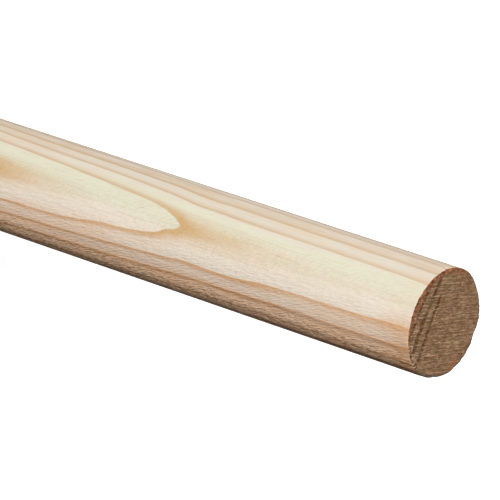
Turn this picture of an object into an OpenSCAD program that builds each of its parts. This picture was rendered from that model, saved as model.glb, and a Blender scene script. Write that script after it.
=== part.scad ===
// Plain round softwood dowel with square-sawn ends.
// It stands on one sawn end: the axis is Z, and the origin is the centre of the lower end.

/* [Shaft] */
// Diameter of the round shaft, in mm
shaft_d = 25; // [6:0.5:50]
// Length from one sawn end to the other, in mm
shaft_l = 200; // [30:1:600]

/* [Sawn ends] */
// Width of the eased edge round each sawn end, in mm
arris = 0.3; // [0.1:0.05:1.5]

/* [Hidden] */
$fn = 128;
shaft_r = shaft_d / 2;

// Half of the dowel's lengthwise section: sawn end, eased edge, shaft, eased edge, sawn end
module half_section() {
    polygon([
        [0, 0],
        [shaft_r - arris, 0],
        [shaft_r, arris],
        [shaft_r, shaft_l - arris],
        [shaft_r - arris, shaft_l],
        [0, shaft_l]
    ]);
}

module dowel() {
    color("burlywood") rotate_extrude() half_section();
}

dowel();
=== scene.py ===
import bisect
import itertools
import math

import bmesh
import bpy
from mathutils import Euler, Matrix, Vector, noise


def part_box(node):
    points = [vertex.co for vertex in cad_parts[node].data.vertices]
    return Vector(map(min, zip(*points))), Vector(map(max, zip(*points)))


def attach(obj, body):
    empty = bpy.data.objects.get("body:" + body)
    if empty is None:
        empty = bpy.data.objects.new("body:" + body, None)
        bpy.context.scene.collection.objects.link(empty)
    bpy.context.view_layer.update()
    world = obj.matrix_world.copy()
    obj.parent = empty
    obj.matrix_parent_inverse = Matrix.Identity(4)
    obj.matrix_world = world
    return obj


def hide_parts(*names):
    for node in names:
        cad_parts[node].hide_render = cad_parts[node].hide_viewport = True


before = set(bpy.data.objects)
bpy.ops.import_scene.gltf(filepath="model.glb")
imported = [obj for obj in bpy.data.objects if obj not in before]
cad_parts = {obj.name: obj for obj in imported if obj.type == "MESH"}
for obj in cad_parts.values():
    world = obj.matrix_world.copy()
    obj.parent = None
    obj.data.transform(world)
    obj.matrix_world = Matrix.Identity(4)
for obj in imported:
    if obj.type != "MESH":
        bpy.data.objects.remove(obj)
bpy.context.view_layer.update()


# The dowel is one length of round softwood, run through a moulding head to its diameter and cross-cut
# with a saw. It has no flutes and no chamfer: each sawn end has only the thin edge that handling wears.
MM = 0.001
dowel_low, dowel_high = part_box("dowel")
SHAFT_R = (dowel_high.x - dowel_low.x) / 2
SHAFT_L = dowel_high.z - dowel_low.z
ARRIS = 0.15 * MM
FRAY_REACH = 2 * MM
SECTORS = 20
SECTOR_STEPS = 20
END_PITCH = 0.15 * MM
ARRIS_PITCH = 0.15 * MM
FRAY_PITCH = 0.25 * MM
SHAFT_PITCH = 6 * MM
MERGE_WITHIN = MM / 1000

lower_half = [(0, 0), (SHAFT_R - ARRIS, 0), (SHAFT_R, ARRIS), (SHAFT_R, ARRIS + FRAY_REACH)]
lower_pitches = [END_PITCH, ARRIS_PITCH, FRAY_PITCH]
half_section = lower_half + [(r, SHAFT_L - z) for r, z in reversed(lower_half)]
pitches = lower_pitches + [SHAFT_PITCH] + lower_pitches[::-1]

dowel_mesh = bmesh.new()
tip = dowel_mesh.verts.new((0, 0, 0))
for start, end, pitch in zip(half_section, half_section[1:], pitches):
    run = Vector(end) - Vector(start)
    rows = round(run.length / pitch)
    for row in range(rows):
        tip = bmesh.ops.extrude_vert_indiv(dowel_mesh, verts=[tip])["verts"][0]
        bmesh.ops.translate(dowel_mesh, vec=(run.x / rows, 0, run.y / rows), verts=[tip])

# The half section is spun into one wedge, and copies of the wedge fill the rest of the round.
dowel_axis = {"cent": (0, 0, 0), "axis": (0, 0, 1)}
section = dowel_mesh.verts[:] + dowel_mesh.edges[:]
bmesh.ops.spin(dowel_mesh, geom=section, angle=math.tau / SECTORS, steps=SECTOR_STEPS, **dowel_axis)
wedge = dowel_mesh.verts[:] + dowel_mesh.edges[:] + dowel_mesh.faces[:]
rest_turn = math.tau * (1 - 1 / SECTORS)
copies = {"angle": rest_turn, "steps": SECTORS - 1, "use_duplicate": True}
bmesh.ops.spin(dowel_mesh, geom=wedge, **copies, **dowel_axis)
bmesh.ops.remove_doubles(dowel_mesh, verts=dowel_mesh.verts, dist=MERGE_WITHIN)
bmesh.ops.recalc_face_normals(dowel_mesh, faces=dowel_mesh.faces)

# The dowel's own UV map: the shaft unrolled into a strip, and the two sawn ends as discs beside it.
STRIP_WIDTH = 0.54
STRIP_MARGIN = 0.01
DISC_RADIUS = 0.21
DISC_PLACES = {1: (0.775, 0.76), -1: (0.775, 0.26)}
END_SLOPE = 0.5
SHAFT_SLOT, END_SLOT = 0, 1


def around(point, near=0.0):
    """Angle of a point about the dowel's axis from the bark side, within half a turn of near."""
    angle = math.atan2(point.x, -point.y)
    return angle + math.tau * round((near - angle) / math.tau)


unrolled = dowel_mesh.loops.layers.uv.new("OFBake")
for face in dowel_mesh.faces:
    face.smooth = True
    face_turn = around(face.calc_center_median())
    on_end = abs(face.normal.z) > END_SLOPE
    face.material_index = END_SLOT if on_end else SHAFT_SLOT
    for loop in face.loops:
        point = loop.vert.co
        if on_end:
            disc = Vector(DISC_PLACES[1 if face.normal.z > 0 else -1])
            loop[unrolled].uv = disc + DISC_RADIUS / SHAFT_R * point.xy
        else:
            turn = around(point, face_turn) / math.tau + 0.5
            height = STRIP_MARGIN + (1 - 2 * STRIP_MARGIN) * point.z / SHAFT_L
            loop[unrolled].uv = (STRIP_MARGIN + STRIP_WIDTH * turn, height)


# The wood grew in yearly rings round a pith that lies far behind the back of the dowel, so they cross it
# almost flat. The grain leans a little out of the bark side on the way down, and so the rings come to the
# surface there as long tongues. Sizes are in millimetres.
PITH_BEHIND = 150
BARK_TURN = math.radians(5.25)
RING_FROM = -14.88
RING_WIDTHS = [2.5, 2.6, 2.4, 2.8, 1.8, 1.8, 2.6, 2.5, 2.43, 3.1, 2.0, 1.68, 1.67, 2.3, 2.4]
ring_edges = list(itertools.accumulate(RING_WIDTHS, initial=RING_FROM))
# Towards one flank the rings lie closer together, by a share for each millimetre along them. A ring keeps
# its place where it lies SKEW_FROM out from the axis.
RING_SKEW = 0.0104
SKEW_FROM = 9
LEAN_SLOPE = 0.0016
LEAN_BOW = 1.11e-4
# Below a swell the rings stay pushed out: how far, where it lies below the upper end, and its reach down.
SWELLS = [(0.43, 73, 4), (0.13, 67.2, 0.7)]
SWELL_WIDTH = 5
# A dimple pushes the rings out, or in where it is negative, round one place: how far, the place below the
# upper end and along the rings, and its reach down and along them.
DIMPLES = [
    (0.24, 14, 6.5, 24, 3),
    (0.28, 14, -9, 15, 2.4),
    (0.1, 20, -5.3, 14, 2),
    (-0.24, 45, -12, 50, 1.6),
    (0.4, 52, -7.3, 13, 1.9),
    (-0.33, 67, 10.5, 6, 4),
    (-0.14, 70.2, -1.9, 2, 0.9),
    (0.24, 104, -6, 10, 2),
    (-0.1, 128, 1.5, 9, 4),
    (-0.42, 130, 11.5, 34, 4.5),
]


def lean(down, side):
    """How far the rings have moved out at a distance below the upper end and along the rings."""
    moved = LEAN_SLOPE * down + LEAN_BOW * down * down
    for rise, low, reach in SWELLS:
        step = (down - low) / (reach + reach / SWELL_WIDTH**2 * side * side)
        moved = moved + rise / 2 * (1 + step / (1 + step * step) ** 0.5)
    for push, low, aside, long, wide in DIMPLES:
        off_down = (down - low) / long
        off_side = (side - aside) / wide
        off = off_down * off_down + off_side * off_side
        moved = moved + push / (1 + off * off)
    return moved


def outward(x, y):
    """Distance of a place from the dowel's axis towards the bark."""
    return -math.sin(BARK_TURN) * x - math.cos(BARK_TURN) * y


def sideways(x, y):
    """Distance of a place from the dowel's axis along the rings."""
    return -math.cos(BARK_TURN) * x + math.sin(BARK_TURN) * y


def growth(x, y, down):
    """Distance out from the pith of a place in the dowel, less the pith's own distance from the axis."""
    out = outward(x, y) + PITH_BEHIND
    side = sideways(x, y)
    skew = RING_SKEW * side * (out - PITH_BEHIND - SKEW_FROM)
    return (out * out + side * side) ** 0.5 - PITH_BEHIND + skew + lean(down, side)


# Each end is cut by a coarse saw. Its teeth leave slanting ridges, tear the soft part of the rings near
# the bark side, lift tufts of fibre, and break small chips out of the rim. Sizes are in millimetres.
SAW_RISE = math.radians(14)
SAW_ALONG = Vector((-math.sin(SAW_RISE), math.cos(SAW_RISE), 0))
SAW_ACROSS = Vector((-math.cos(SAW_RISE), -math.sin(SAW_RISE), 0))
SAWN_MEAN = 0.06
SAWN_MOST = 0.5
KERF_DEPTH = 0.11
FINE_KERF = 0.7
WEAK_AT = 0.4
TORN_DEPTH = 0.07
TORN_MEAN = 0.5
TORN_SWING = 1.6
TORN_FROM = 2.8
TORN_FULL = 5.0
TUFT_HEIGHT = 0.4
TUFT_FROM = 0.35
WORN_DEPTH = 0.16
WORN_FROM = 0.1
WORN_LUMPS = 16
CHIP_REACH = 0.9
CHIP_INWARD = 0.4
# Each chip's place round the rim and half its width, in degrees, and its depth.
CHIPS = [
    (-130, 26, 0.32),
    (-66, 4, 0.7),
    (-31, 2, 0.15),
    (20, 2, 0.2),
    (50, 2.5, 0.2),
    (57, 2, 0.25),
    (63, 2.5, 0.35),
    (71, 2.5, 0.25),
    (90, 9, 0.4),
    (104, 22, 0.5),
    (180, 14, 0.28),
]


def drawn_out(along, across, long, wide, seed):
    """Signed noise that is drawn out along the saw's path."""
    return noise.noise(Vector((along / long + seed, across / wide, seed)))


def softness(place, down):
    """1 in the weak part of a ring and 0 at the ring's start and in its hard part, on a sawn end."""
    grown = growth(place.x, place.y, down)
    ring = bisect.bisect(ring_edges, grown) - 1
    part = (grown - ring_edges[ring]) / RING_WIDTHS[ring]
    return max(0.0, 1 - abs(part - WEAK_AT) / WEAK_AT)


def sawn_depth(place, down, seed):
    """Depth of the sawn surface below the end's highest fibres."""
    spot = {"along": place.dot(SAW_ALONG), "across": place.dot(SAW_ACROSS)}
    out = outward(place.x, place.y)
    kerf = drawn_out(**spot, long=3, wide=0.9, seed=seed)
    kerf += FINE_KERF * drawn_out(**spot, long=1.6, wide=0.5, seed=seed + 7)
    near_bark = min(1.0, max(0.0, (out - TORN_FROM) / (TORN_FULL - TORN_FROM)))
    torn = max(0.0, TORN_MEAN + TORN_SWING * drawn_out(**spot, long=1.4, wide=0.5, seed=seed + 13))
    tuft = max(0.0, drawn_out(**spot, long=1.2, wide=0.5, seed=seed + 29) - TUFT_FROM)
    depth = SAWN_MEAN + KERF_DEPTH * kerf - TUFT_HEIGHT * tuft
    depth += TORN_DEPTH * near_bark * softness(place, down) * torn
    return min(SAWN_MOST, max(0.0, depth))


def chipped(angle, seed):
    """How deep the rim is worn and chipped at an angle about the axis. The seed also turns the chips."""
    spot = Vector((math.cos(angle), math.sin(angle), 0))
    lumps = noise.noise(spot * WORN_LUMPS + Vector((seed, 0, 0)))
    worn = WORN_DEPTH * max(0.0, lumps - WORN_FROM)
    deepest = 0.0
    for middle, width, depth in CHIPS:
        off = math.degrees(math.remainder(angle - math.radians(middle + seed), math.tau))
        deepest = max(deepest, depth * (1 - abs(off) / width))
    return worn + deepest


def saw_end(upward, seed):
    """Roughens one end; upward is 1 for the upper end and -1 for the lower one."""
    plane = SHAFT_L if upward > 0 else 0
    down = 0 if upward > 0 else SHAFT_L / MM
    for vert in dowel_mesh.verts:
        inside = (plane - vert.co.z) * upward
        if inside > FRAY_REACH:
            continue
        place = Vector((vert.co.x, vert.co.y, 0)) / MM
        rim = max(0.0, 1 - (SHAFT_R / MM - place.length) / CHIP_REACH)
        chip = rim * chipped(around(vert.co), seed) if rim else 0.0
        fading = 1 - inside / FRAY_REACH
        vert.co.z -= upward * fading * (sawn_depth(place, down, seed) + chip) * MM
        vert.co.xy *= 1 - CHIP_INWARD * fading * chip * MM / SHAFT_R


saw_end(upward=1, seed=0.0)
saw_end(upward=-1, seed=41.2)


# Bare pine as the moulding head leaves it, without varnish: cream between the rings, tan where a ring ends,
# silky along the fibres, with slanting knife fuzz and a few resin flecks. One flank is left rougher;
# painted shade darkens its edge, painted highlight and shade fleck its fuzz, and its tints are warmed as
# painted shade. The wood is a little yellower next to the sawn ends.
class Amount:
    """A value that varies over the wood. Arithmetic on it adds Math nodes to its finish."""

    def __init__(self, finish, socket):
        self.finish = finish
        self.socket = socket

    def __add__(self, other):
        return self.finish.reckon("ADD", self, other)

    def __sub__(self, other):
        return self.finish.reckon("SUBTRACT", self, other)

    def __rsub__(self, other):
        return self.finish.reckon("SUBTRACT", other, self)

    def __mul__(self, other):
        return self.finish.reckon("MULTIPLY", self, other)

    def __truediv__(self, other):
        return self.finish.reckon("DIVIDE", self, other)

    def __rtruediv__(self, other):
        return self.finish.reckon("DIVIDE", other, self)

    def __pow__(self, other):
        return self.finish.reckon("POWER", self, other)

    __radd__ = __add__
    __rmul__ = __mul__


class Finish:
    """The nodes of one material, or of the world."""

    def __init__(self, owner):
        owner.use_nodes = True
        self.owner = owner
        self.tree = owner.node_tree
        self.tree.nodes.clear()

    def node(self, kind, settings, sockets, output=0):
        """Adds a node, first with its settings and then with its sockets' values or links."""
        made = self.tree.nodes.new(kind)
        for name, setting in settings.items():
            if name == "chart":
                self.draw_chart(made.mapping, setting)
            elif name == "stops":
                self.set_stops(made.color_ramp, setting)
            else:
                setattr(made, name, setting)
        for name, value in sockets.items():
            if isinstance(value, Amount):
                self.tree.links.new(value.socket, made.inputs[name])
            else:
                made.inputs[name].default_value = value
        return Amount(self, made.outputs[output]) if made.outputs else None

    def draw_chart(self, mapping, points):
        """Draws a Float Curve through points, with straight stretches between them."""
        curve = mapping.curves[0]
        for point, place in zip(curve.points, (points[0], points[-1])):
            point.location = place
        for place in points[1:-1]:
            curve.points.new(*place)
        for point in curve.points:
            point.handle_type = "VECTOR"
        mapping.update()

    def set_stops(self, ramp, stops):
        """Gives a Color Ramp its stops, each a place from 0 to 1 and a colour."""
        while len(ramp.elements) < len(stops):
            ramp.elements.new(1.0)
        for element, (place, colour) in zip(ramp.elements, stops):
            element.position = place
            element.color = colour

    def reckon(self, operation, first, second=0.0):
        """A Math node. An operation on one value has no use for the second."""
        return self.node("ShaderNodeMath", {"operation": operation}, {0: first, 1: second})

    def mix(self, share, first, second):
        """The first colour where share is 0, and the second where it is 1."""
        return self.node("ShaderNodeMix", {"data_type": "RGBA"}, {0: share, 6: first, 7: second}, 2)

    def between(self, value, low, high):
        """Goes smoothly from 0 to 1 as a value goes from low to high. Low may be the larger one."""
        steps = {"interpolation_type": "SMOOTHSTEP"}
        return self.node("ShaderNodeMapRange", steps, {0: value, 1: low, 2: high})

    def evenly(self, value, low, high):
        """Goes evenly from 0 to 1 as a value goes from low to high."""
        return self.node("ShaderNodeMapRange", {}, {0: value, 1: low, 2: high})

    def place(self):
        """The point on the dowel, as a vector in metres."""
        return self.node("ShaderNodeTexCoord", {}, {}, "Object")

    def axes(self):
        """The point's own X, Y and Z on the dowel, in millimetres."""
        return [self.node("ShaderNodeSeparateXYZ", {}, {0: self.place()}, axis) / MM for axis in "XYZ"]

    def fibres(self, across, along, detail, seed, place=None):
        """Noise from 0 to 1, drawn out along the grain; its sizes are in millimetres."""
        spread = (1 / (across * MM), 1 / (across * MM), 1 / (along * MM))
        sockets = {"Vector": place or self.place(), "Location": (seed, -seed, seed), "Scale": spread}
        sized = self.node("ShaderNodeMapping", {}, sockets)
        return self.node("ShaderNodeTexNoise", {}, {"Vector": sized, "Scale": 1, "Detail": detail})

    def ring_age(self, wander):
        """Years of growth out to a place: whole numbers at the ring edges, and shares between them."""
        x, y, z = self.axes()
        span = ring_edges[-1] - ring_edges[0]
        reach = (growth(x, y, SHAFT_L / MM - z) + wander - ring_edges[0]) / span
        years = len(RING_WIDTHS)
        chart = [((edge - ring_edges[0]) / span, year / years) for year, edge in enumerate(ring_edges)]
        return self.node("ShaderNodeFloatCurve", {"chart": chart}, {"Value": reach}) * years


def srgb(red, green, blue):
    """A colour given from 0 to 255 in each channel, as Blender's linear values."""
    parts = [channel / 255 for channel in (red, green, blue)]
    linear = [part / 12.92 if part <= 0.04045 else ((part + 0.055) / 1.055) ** 2.4 for part in parts]
    return (*linear, 1.0)


# Pale wood between the rings, from the shaded flank round to the light one
# Towards the shaded flank the tints grow warmer and deeper, partly as painted warm shade.
WARM_SHADE_UNDER = srgb(242, 189, 146)
FLANK = srgb(244, 198, 159)
PEACH = srgb(228, 200, 176)
ROSE = srgb(226, 214, 197)
CREAM = srgb(213, 210, 188)
BLUSH = srgb(214, 205, 189)
LIGHT_SIDE = srgb(216, 199, 176)
LIGHT_EDGE = srgb(222, 210, 195)
PALE_STOPS = [
    (0.0, WARM_SHADE_UNDER),
    (0.06, FLANK),
    (0.17, PEACH),
    (0.33, ROSE),
    (0.45, ROSE),
    (0.58, CREAM),
    (0.71, CREAM),
    (0.78, BLUSH),
    (0.83, BLUSH),
    (0.89, LIGHT_SIDE),
    (0.97, LIGHT_EDGE),
]
# The ends of the rings
DEEP_TAN = srgb(168, 116, 74)
SHADE_TAN = srgb(203, 154, 107)
TAN = srgb(200, 160, 107)
LIGHT_TAN = srgb(190, 154, 111)
# Fibres, flecks and other marks, and the colours of painted highlight and painted shade
STREAK = srgb(200, 166, 131)
FLECK = srgb(176, 132, 92)
EARLY_AND_HIGHLIGHT = srgb(255, 214, 178)
PAINTED_SHADE_BROWN = srgb(132, 76, 36)
AMBER = srgb(200, 130, 50)
# Where things begin and are full across the shaft, from 0 on the shaded flank to 1 on the light one
LIGHT_HALF = (0.55, 0.72)
LIGHT_MARGIN = (0.82, 0.95)
SHADE_HALF = (0.46, 0.3)
TAN_TURNS = (0.25, 0.5)
TAN_DEEPENS = (0.22, 0.08)
NARROW_FLANK = (0.14, 0.07)
ROUGH_FLANK = (0.14, 0.03)
PAINTED_SHADE_MARGIN = (0.02, 0.006)
# The same below the upper end, out towards the bark and in from the nearer end, in millimetres
AWAY_BELOW = (25, 60)
NARROW_BELOW = (42, 68)
BARK_HALF = (0.2, 1.9)
YELLOWED = (11, 1.5)
# The same through one ring, from 0 at its start to 1 at its end
EARLY_WOOD = (0.8, 0.55)
LATE_SLOW = (0.44, 0.7)
LATE_FAST = (0.7, 0.88)
RING_END = (0.955, 0.985)
# The same in the noises
SILK_SHOWS = (0.48, 0.8)
STRANDS_SHOW = (0.5, 0.7)
RESIN_SHOWS = (0.74, 0.82)
NAP_SHADE = (0.5, 0.64)
NAP_HIGHLIGHT = (0.48, 0.36)
# How far a ring's edge wanders, in millimetres
LONG_WANDER = 0.2
SHORT_WANDER = 0.17
# How strongly the marks, and the painted light and shade on the fuzz, tint the wood
SILK_TINT = 0.35
RESIN_TINT = 0.35
NAP_SHADE_TINT = 0.36
EARLY_AND_HIGHLIGHT_TINT = 0.5
AMBER_TINT = 0.3
# The slant, relief and shine of the planed face
FUZZ_SLANT = math.radians(20)
FUZZ_TWIST = math.tan(FUZZ_SLANT) / SHAFT_R
SHAFT_RELIEF = 0.36 * MM
SHAFT_SHINE = 0.03

planed = Finish(bpy.data.materials.new("planed_pine"))
shaft_x, shaft_y, shaft_z = planed.axes()
below = SHAFT_L / MM - shaft_z
across = sideways(shaft_x, shaft_y) / (2 * SHAFT_R / MM) + 0.5
light_half = planed.between(across, *LIGHT_HALF)
shade_half = planed.between(across, *SHADE_HALF)
bark_half = planed.between(outward(shaft_x, shaft_y), *BARK_HALF)
away = planed.between(below, *AWAY_BELOW)

long_wander = planed.fibres(across=9, along=45, detail=2, seed=11) - 0.5
short_wander = planed.fibres(across=1.2, along=9, detail=4, seed=23) - 0.5
age = planed.ring_age(LONG_WANDER * long_wander + SHORT_WANDER * short_wander)
part = planed.reckon("FRACT", age)
year = planed.reckon("FLOOR", age)

# A ring darkens slowly and then fast, and stops short at its end. Its line is narrower on the shaded flank.
season = planed.node("ShaderNodeTexWhiteNoise", {"noise_dimensions": "1D"}, {"W": year})
narrow_below = planed.between(below, *NARROW_BELOW)
narrow = shade_half * (narrow_below + (1 - narrow_below) * planed.between(across, *NARROW_FLANK))
gradual = 0.35 - 0.1 * light_half + 0.15 * shade_half - 0.4 * narrow
darkening = gradual * planed.evenly(part, *LATE_SLOW) + 0.65 * planed.evenly(part, *LATE_FAST)
uneven = 0.6 + 0.15 * season + 0.5 * planed.fibres(across=2, along=14, detail=2, seed=43)
late = darkening * (1 - planed.between(part, *RING_END)) * uneven
line_strength = 0.62 + 0.33 * away * (1 - 0.55 * light_half) + 0.2 * narrow

broad_hue = planed.fibres(across=5, along=40, detail=3, seed=331) - 0.5
fine_hue = planed.fibres(across=2.5, along=9, detail=3, seed=237) - 0.5
hue = across + 0.3 * broad_hue + 0.2 * fine_hue
pale = planed.node("ShaderNodeValToRGB", {"stops": PALE_STOPS}, {0: hue})
tan = planed.mix(planed.between(across, *TAN_TURNS), SHADE_TAN, TAN)
tan = planed.mix(light_half, tan, LIGHT_TAN)
tan = planed.mix(planed.between(across, *TAN_DEEPENS) * (1 - 0.6 * away), tan, DEEP_TAN)
wood = planed.mix(late * line_strength, pale, tan)

silk = planed.fibres(across=0.28, along=9, detail=4, seed=47)
strands = planed.fibres(across=0.7, along=50, detail=3, seed=53)
strand_tint = 0.12 + 0.4 * planed.between(across, *LIGHT_MARGIN)
resin = planed.fibres(across=0.42, along=4.5, detail=1, seed=59)
wood = planed.mix(SILK_TINT * planed.between(silk, *SILK_SHOWS), wood, STREAK)
wood = planed.mix(strand_tint * planed.between(strands, *STRANDS_SHOW), wood, STREAK)
wood = planed.mix(RESIN_TINT * planed.between(resin, *RESIN_SHOWS), wood, FLECK)

# The fuzz that the knives leave slants round the shaft, and it is strongest on the rough flank.
twist = planed.node("ShaderNodeSeparateXYZ", {}, {0: planed.place()}, "Z") * FUZZ_TWIST
twisted = planed.node(
    "ShaderNodeVectorRotate",
    {"rotation_type": "Z_AXIS"},
    {"Vector": planed.place(), "Angle": twist},
)
rough_flank = bark_half * planed.between(across, *ROUGH_FLANK)
fuzz = planed.fibres(across=0.42, along=1.5, detail=3, seed=71, place=twisted)
fuzz = fuzz * (1 - 0.7 * light_half) * (1 + 1.4 * rough_flank)
nap = planed.fibres(across=0.7, along=1.5, detail=2, seed=79, place=twisted)
painted_shade_tint = (0.6 - 0.34 * away) * bark_half
# On the rough flank the earlywood is paler, and the nap's dark and pale flecks are painted shade and
# painted highlight on the fuzz.
wood = planed.mix(EARLY_AND_HIGHLIGHT_TINT * rough_flank * planed.between(part, *EARLY_WOOD), wood, EARLY_AND_HIGHLIGHT)
wood = planed.mix(NAP_SHADE_TINT * rough_flank * planed.between(nap, *NAP_SHADE), wood, PAINTED_SHADE_BROWN)
wood = planed.mix(EARLY_AND_HIGHLIGHT_TINT * rough_flank * planed.between(nap, *NAP_HIGHLIGHT), wood, EARLY_AND_HIGHLIGHT)
# Painted shade darkens the edge of the shaded flank on the bark half, most near the upper end.
wood = planed.mix(painted_shade_tint * planed.between(across, *PAINTED_SHADE_MARGIN), wood, PAINTED_SHADE_BROWN)

to_end = planed.reckon("MINIMUM", shaft_z, below)
yellowed = planed.between(to_end, *YELLOWED) * (0.25 + 0.75 * shade_half)
wood = planed.mix(AMBER_TINT * yellowed, wood, AMBER)
shaft_height = 0.1 * late + 0.2 * silk + 0.8 * fuzz
shaft_relief = planed.node("ShaderNodeBump", {}, {"Distance": SHAFT_RELIEF, "Height": shaft_height})
shaft_shader = planed.node(
    "ShaderNodeBsdfPrincipled",
    {},
    {
        "Base Color": wood,
        "Roughness": 0.62 + 0.22 * silk,
        "Specular IOR Level": SHAFT_SHINE,
        "Normal": shaft_relief,
    },
)
planed.node("ShaderNodeOutputMaterial", {}, {"Surface": shaft_shader})


# The sawn ends show the cut ends of the fibres, which drink light and look brown. The saw has rubbed them
# into slanting lines, with paler torn fibre and dark pits in the soft rings, whose darkness is partly
# painted shade. Round the rim on the side that faces the lamps runs a reddish painted glow of light.
# The darkest brown is partly painted shade in the pits.
PIT_SHADE = srgb(90, 52, 16)
BROWN = srgb(136, 101, 71)
TORN = srgb(187, 157, 121)
# The next colour is a painted glow of light through the rim, and the stain's colour as well; the one after
# darkens patches of that glow, and the third is painted shade on the rim's other side.
RIM_GLOW_AND_STAIN = srgb(160, 102, 66)
RIM_DARK = srgb(96, 54, 32)
RIM_SHADE = srgb(86, 76, 62)
OLIVE = srgb(132, 112, 66)
SPLIT = srgb(216, 180, 142)
TONE_STOPS = [(0.1, PIT_SHADE), (0.5, BROWN), (0.9, TORN)]
# Where things begin and are full, in millimetres: along the rings, out towards the bark, in from the rim,
# past the ragged edge of the painted glow at the rim, and from the middle of the stain
PITS_DRAW_OUT = (3, 7)
BROKEN_SIDE = (-6.5, -8)
BROKEN_OUT = (2, 4)
SPLIT_INSIDE = (1.5, 1.2)
RIM_SHADE_INSIDE = (1, 0.4)
RIM_GLOW_EDGE = (-0.3, 0.4)
STAIN_REACH = (2.6, 1.2)
# The same through one ring, from 0 at its start to 1 at its end, and in the noises
HARD_WOOD = (0.75, 0.9)
PITS_SHOW = (0.1, 0.5)
RUNGS_SHOW = (0.34, 0.52)
STROKES_SHOW = (0.62, 0.72)
FLECKS_SHOW = (0.68, 0.78)
OLIVE_SHOWS = (0.52, 0.66)
RIM_DARK_SHOWS = (0.46, 0.6)
SPLIT_SHOWS = (0.5, 0.6)
# The weakest part of a ring, and how much farther out the pits begin towards one flank
PIT_AT = 0.38
PIT_HALF = 0.26
PIT_SHIFT = 2
# The side of the rim that faces the lamps, as a direction, where it fades in that direction, and the stain
LIT_RIM_SIDE = (-0.64, -0.77)
LIT_RIM_FADES = (-3, 9)
RIM_GLOW_WIDTH = 1.3
RIM_GLOW_RAGGED = 2
STAIN_AT = (8.0, 8.2)
STAIN_RAGGED = 3
# How strongly the marks, and the painted glow and shade at the rim, tint the end
FLECK_TINT = 0.9
OLIVE_TINT = 0.3
RIM_GLOW_TINT = 0.8
RIM_SHADE_TINT = 0.6
STAIN_TINT = 0.45
SPLIT_TINT = 0.55
# How far a ring's edge wanders, and how deep into the end its patterns run, in millimetres
END_WANDER = 0.5
SCRATCH_DEPTH = 50
FIBRE_LENGTH = 20
END_RELIEF = 0.45 * MM
END_SHINE = 0.15

sawn = Finish(bpy.data.materials.new("sawn_end_grain"))
end_x, end_y, end_z = sawn.axes()
saw_along = end_x * SAW_ALONG.x + end_y * SAW_ALONG.y
saw_across = end_x * SAW_ACROSS.x + end_y * SAW_ACROSS.y
end_out, end_side = outward(end_x, end_y), sideways(end_x, end_y)
rim_inside = SHAFT_R / MM - (end_x * end_x + end_y * end_y) ** 0.5


def scratches(along, across, detail, seed):
    """Noise from 0 to 1, drawn out along the saw's path; its sizes are in millimetres."""
    path = {"X": saw_along / along, "Y": saw_across / across, "Z": end_z / SCRATCH_DEPTH + seed}
    spot = sawn.node("ShaderNodeCombineXYZ", {}, path)
    return sawn.node("ShaderNodeTexNoise", {}, {"Vector": spot, "Scale": 1, "Detail": detail})


end_wander = sawn.fibres(across=1.5, along=45, detail=3, seed=11) - 0.5
end_part = sawn.reckon("FRACT", sawn.ring_age(END_WANDER * end_wander))
lines = scratches(along=1.7, across=0.46, detail=3, seed=5) - 0.5
strokes = scratches(along=9, across=0.42, detail=2, seed=9)
flecks = scratches(along=0.75, across=0.36, detail=2, seed=17)
rungs = scratches(along=2.4, across=0.5, detail=1, seed=25)
patches = sawn.fibres(across=2.6, along=FIBRE_LENGTH, detail=2, seed=61)

# Pits are torn out of the weak part of each ring near the bark, with rungs of sound wood across them.
pits_from = PIT_SHIFT * sawn.between(end_side, *PITS_DRAW_OUT)
near_bark = sawn.between(end_out - pits_from, TORN_FROM, TORN_FULL)
weak = 1 - sawn.reckon("ABSOLUTE", end_part - PIT_AT) / PIT_HALF
torn = near_bark * sawn.between(weak + 1.2 * lines, *PITS_SHOW) * sawn.between(rungs, *RUNGS_SHOW)
tone = 0.52 + (1 + 0.35 * near_bark) * lines + 0.85 * (strokes - 0.5) + 0.4 * (flecks - 0.5)
# The torn pits darken the tone as painted shade.
tone = tone + 0.5 * (patches - 0.5) - 0.45 * torn * (0.5 + patches)
tone = tone + 0.16 * sawn.between(strokes, *STROKES_SHOW) + 0.04 * near_bark
end_colour = sawn.node("ShaderNodeValToRGB", {"stops": TONE_STOPS}, {0: tone})
pale_flecks = flecks + 0.11 * sawn.between(end_part, *HARD_WOOD)
end_colour = sawn.mix(FLECK_TINT * sawn.between(pale_flecks, *FLECKS_SHOW), end_colour, TORN)
olive = sawn.fibres(across=2.2, along=FIBRE_LENGTH, detail=2, seed=97)
end_colour = sawn.mix(OLIVE_TINT * sawn.between(olive, *OLIVE_SHOWS), end_colour, OLIVE)

# Painted glow of light reddens the rim on the side that faces the lamps, and painted shade darkens the
# other side, which also has a stain. Splinters show at one place.
lit_rim_side = sawn.between(LIT_RIM_SIDE[0] * end_x + LIT_RIM_SIDE[1] * end_y, *LIT_RIM_FADES)
ragged = sawn.fibres(across=1.8, along=FIBRE_LENGTH, detail=2, seed=83) - 0.5
past_edge = RIM_GLOW_WIDTH * lit_rim_side - RIM_GLOW_RAGGED * ragged - rim_inside
rim_glow = sawn.between(past_edge, *RIM_GLOW_EDGE) * (0.2 + 0.8 * lit_rim_side)
rim_patches = sawn.fibres(across=0.9, along=FIBRE_LENGTH, detail=2, seed=89)
rim_glow_colour = sawn.mix(sawn.between(rim_patches, *RIM_DARK_SHOWS), RIM_GLOW_AND_STAIN, RIM_DARK)
end_colour = sawn.mix(RIM_GLOW_TINT * rim_glow, end_colour, rim_glow_colour)
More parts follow.
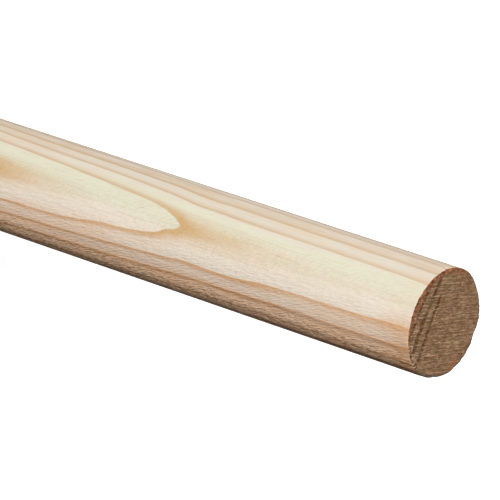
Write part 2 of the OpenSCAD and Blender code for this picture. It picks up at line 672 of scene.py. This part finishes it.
# Painted shade darkens the rim's edge on the side away from the lamps.
rim_shade = sawn.between(rim_inside, *RIM_SHADE_INSIDE) * (1 - lit_rim_side)
end_colour = sawn.mix(RIM_SHADE_TINT * rim_shade, end_colour, RIM_SHADE)
stain_x, stain_y = end_x - STAIN_AT[0], end_y - STAIN_AT[1]
from_stain = (stain_x * stain_x + stain_y * stain_y) ** 0.5 + STAIN_RAGGED * lines
end_colour = sawn.mix(STAIN_TINT * sawn.between(from_stain, *STAIN_REACH), end_colour, RIM_GLOW_AND_STAIN)
splinters = sawn.fibres(across=0.6, along=FIBRE_LENGTH, detail=2, seed=101)
broken = sawn.between(end_side, *BROKEN_SIDE) * sawn.between(end_out, *BROKEN_OUT)
split = broken * sawn.between(rim_inside, *SPLIT_INSIDE) * sawn.between(splinters, *SPLIT_SHOWS)
end_colour = sawn.mix(SPLIT_TINT * split, end_colour, SPLIT)

end_height = lines + 0.35 * flecks - 0.5 * torn
end_relief = sawn.node("ShaderNodeBump", {}, {"Distance": END_RELIEF, "Height": end_height})
end_shader = sawn.node(
    "ShaderNodeBsdfPrincipled",
    {},
    {
        "Base Color": end_colour,
        "Roughness": 0.825 + 0.15 * lines,
        "Specular IOR Level": END_SHINE,
        "Normal": end_relief,
    },
)
sawn.node("ShaderNodeOutputMaterial", {}, {"Surface": end_shader})

dowel_data = bpy.data.meshes.new("sawn_dowel")
dowel_mesh.to_mesh(dowel_data)
dowel_mesh.free()
dowel_data.materials.append(planed.owner)
dowel_data.materials.append(sawn.owner)
dowel = bpy.data.objects.new("sawn_dowel", dowel_data)
bpy.context.scene.collection.objects.link(dowel)
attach(dowel, "root")
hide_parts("dowel")


# The dowel stands on a plain white table top in a white room. To the eye the table is white all over, apart
# from the dowel's own shadow on it. It returns little light to the dowel.
TABLE_SPAN = 8.0
TABLE_RETURN = 0.03
TABLE_PAINT = 0.9
TABLE_GLOW = 0.73
ROOM_LIGHT = 0.011

floor_mesh = bmesh.new()
bmesh.ops.create_grid(floor_mesh, x_segments=1, y_segments=1, size=TABLE_SPAN / 2)
floor_data = bpy.data.meshes.new("table_top")
floor_mesh.to_mesh(floor_data)
floor_mesh.free()


def grey(level):
    """A colour without a tint, from black at 0 to white at 1."""
    return (level, level, level, 1)


def seen(finish):
    """1 for light that the eye sees straight or in a mirror or glass, and 0 for light that only falls."""
    rays = ("Is Camera Ray", "Is Glossy Ray", "Is Transmission Ray")
    camera, glossy, glass = [finish.node("ShaderNodeLightPath", {}, {}, ray) for ray in rays]
    return finish.reckon("MAXIMUM", camera, glossy) + glass


table = Finish(bpy.data.materials.new("white_table"))
table_dim = table.node("ShaderNodeBsdfDiffuse", {}, {"Color": grey(TABLE_RETURN)})
table_paint = table.node("ShaderNodeBsdfDiffuse", {}, {"Color": grey(TABLE_PAINT)})
table_glow = table.node("ShaderNodeEmission", {}, {"Color": grey(1), "Strength": TABLE_GLOW})
table_white = table.node("ShaderNodeAddShader", {}, {0: table_paint, 1: table_glow})
table_shown = table.node("ShaderNodeMixShader", {}, {0: seen(table), 1: table_dim, 2: table_white})
table.node("ShaderNodeOutputMaterial", {}, {"Surface": table_shown})
floor_data.materials.append(table.owner)
floor = bpy.data.objects.new("table_top", floor_data)
bpy.context.scene.collection.objects.link(floor)

world = bpy.data.worlds.new("white_room")
room = Finish(world)
room_light = room.node("ShaderNodeBackground", {}, {"Color": grey(1), "Strength": ROOM_LIGHT})
room_white = room.node("ShaderNodeBackground", {}, {"Color": grey(1), "Strength": 1.0})
room_shown = room.node("ShaderNodeMixShader", {}, {0: seen(room), 1: room_light, 2: room_white})
room.node("ShaderNodeOutputWorld", {}, {"Surface": room_shown})
bpy.context.scene.world = world


# Soft boxes round the dowel: the main one stands on the bark side, a weaker one to its left lifts that
# flank, and one behind keeps the back readable. The flank between main and back falls into shade. A box's
# share is how bright it alone makes a white card that faces it at the dowel's middle.
LAMP_AWAY = 3.2
LAMPS = {
    "main_box": {"turn": 13, "rise": 31, "share": 1.34, "width": 0.8},
    "left_box": {"turn": 104, "rise": 15, "share": 0.42, "width": 1.8},
    "back_box": {"turn": 184, "rise": 4, "share": 0.9, "width": 1.8},
}
dowel_middle = Vector((0, 0, SHAFT_L / 2))

for name, lamp in LAMPS.items():
    box = bpy.data.lights.new(name, "AREA")
    box.size = lamp["width"]
    box.energy = lamp["share"] * math.pi**2 * LAMP_AWAY**2
    turn, rise = math.radians(lamp["turn"]), math.radians(lamp["rise"])
    toward = Vector((-math.sin(turn) * math.cos(rise), -math.cos(turn) * math.cos(rise), math.sin(rise)))
    holder = bpy.data.objects.new(name, box)
    holder.location = dowel_middle + LAMP_AWAY * toward
    holder.rotation_euler = toward.to_track_quat("Z", "Y").to_euler()
    holder.visible_camera = False
    bpy.context.scene.collection.objects.link(holder)


# The camera looks down on the upper end from the bark side through a long lens, and is rolled over, so that
# the standing dowel lies across the picture.
VIEW_AIM = Vector((-0.00166, -0.0268, SHAFT_L - 0.0362))
VIEW_AWAY = 0.97655
VIEW_RISE = math.radians(36.665)
VIEW_TURN = math.radians(0.126)
VIEW_ROLL = math.radians(108.46)
VIEW_LENS = 325.1

camera = bpy.data.objects.new("camera", bpy.data.cameras.new("camera"))
camera.data.lens = VIEW_LENS
level = Euler((math.pi / 2 - VIEW_RISE, 0, VIEW_TURN)).to_matrix()
turned = (level @ Matrix.Rotation(VIEW_ROLL, 3, "Z")).to_4x4()
camera.matrix_world = Matrix.Translation(VIEW_AIM) @ turned @ Matrix.Translation((0, 0, VIEW_AWAY))
bpy.context.scene.collection.objects.link(camera)
bpy.context.scene.camera = camera
bpy.context.scene.view_settings.view_transform = "Standard"
